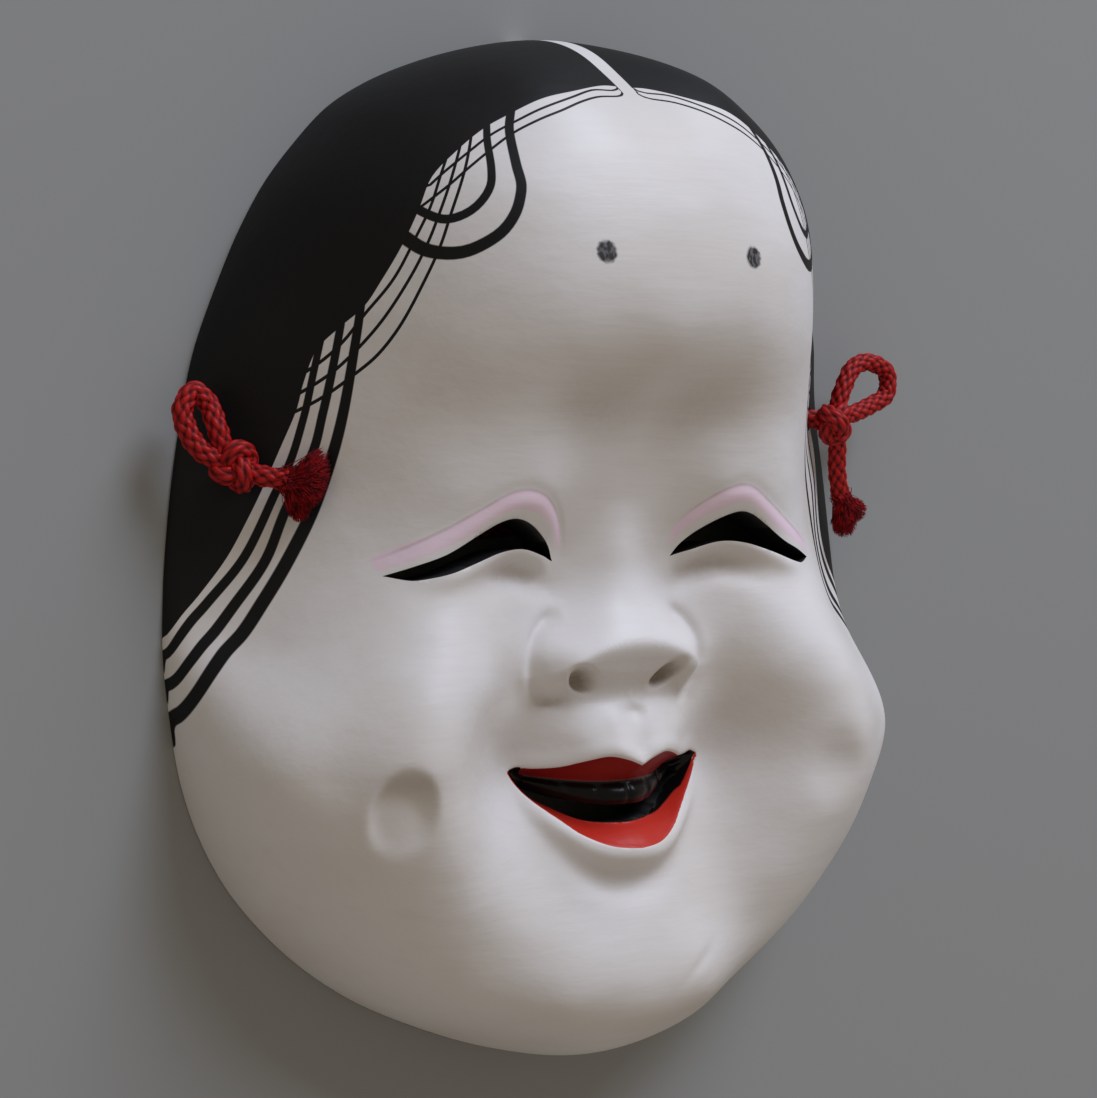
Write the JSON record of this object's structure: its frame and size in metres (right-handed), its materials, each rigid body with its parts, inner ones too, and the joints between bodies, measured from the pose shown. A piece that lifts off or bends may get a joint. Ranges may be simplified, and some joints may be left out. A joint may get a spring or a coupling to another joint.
{
  "type": "carved wooden mask",
  "caption": "Hollow carved wooden folk mask of a smiling round-cheeked woman, painted white, with black hair, open eye slits and mouth, and a red braided cord through its temples.",
  "frame": {"origin": "middle of the mask's height and width, in the plane of its flat back rim", "axes": "+Z out of the face, from the flat back rim towards the forehead; +Y towards the crown; +X to the viewer's right when looking at the face"},
  "size_m": [0.1828, 0.2168, 0.0593],
  "materials": {
    "painted_wood": "satin white shell-lime paint over wood, hand painted in black, red and lilac",
    "braid": "red braided cord with a silky sheen"
  },
  "bodies": {
    "root": {"mask": "painted_wood", "cord_back": "braid", "cord_left_knot": "braid", "cord_left_loop": "braid", "cord_left_tail": "braid", "cord_left_tuft": "braid", "cord_right_knot": "braid", "cord_right_loop": "braid", "cord_right_tail": "braid", "cord_right_tuft": "braid"}
  },
  "joints": []
}
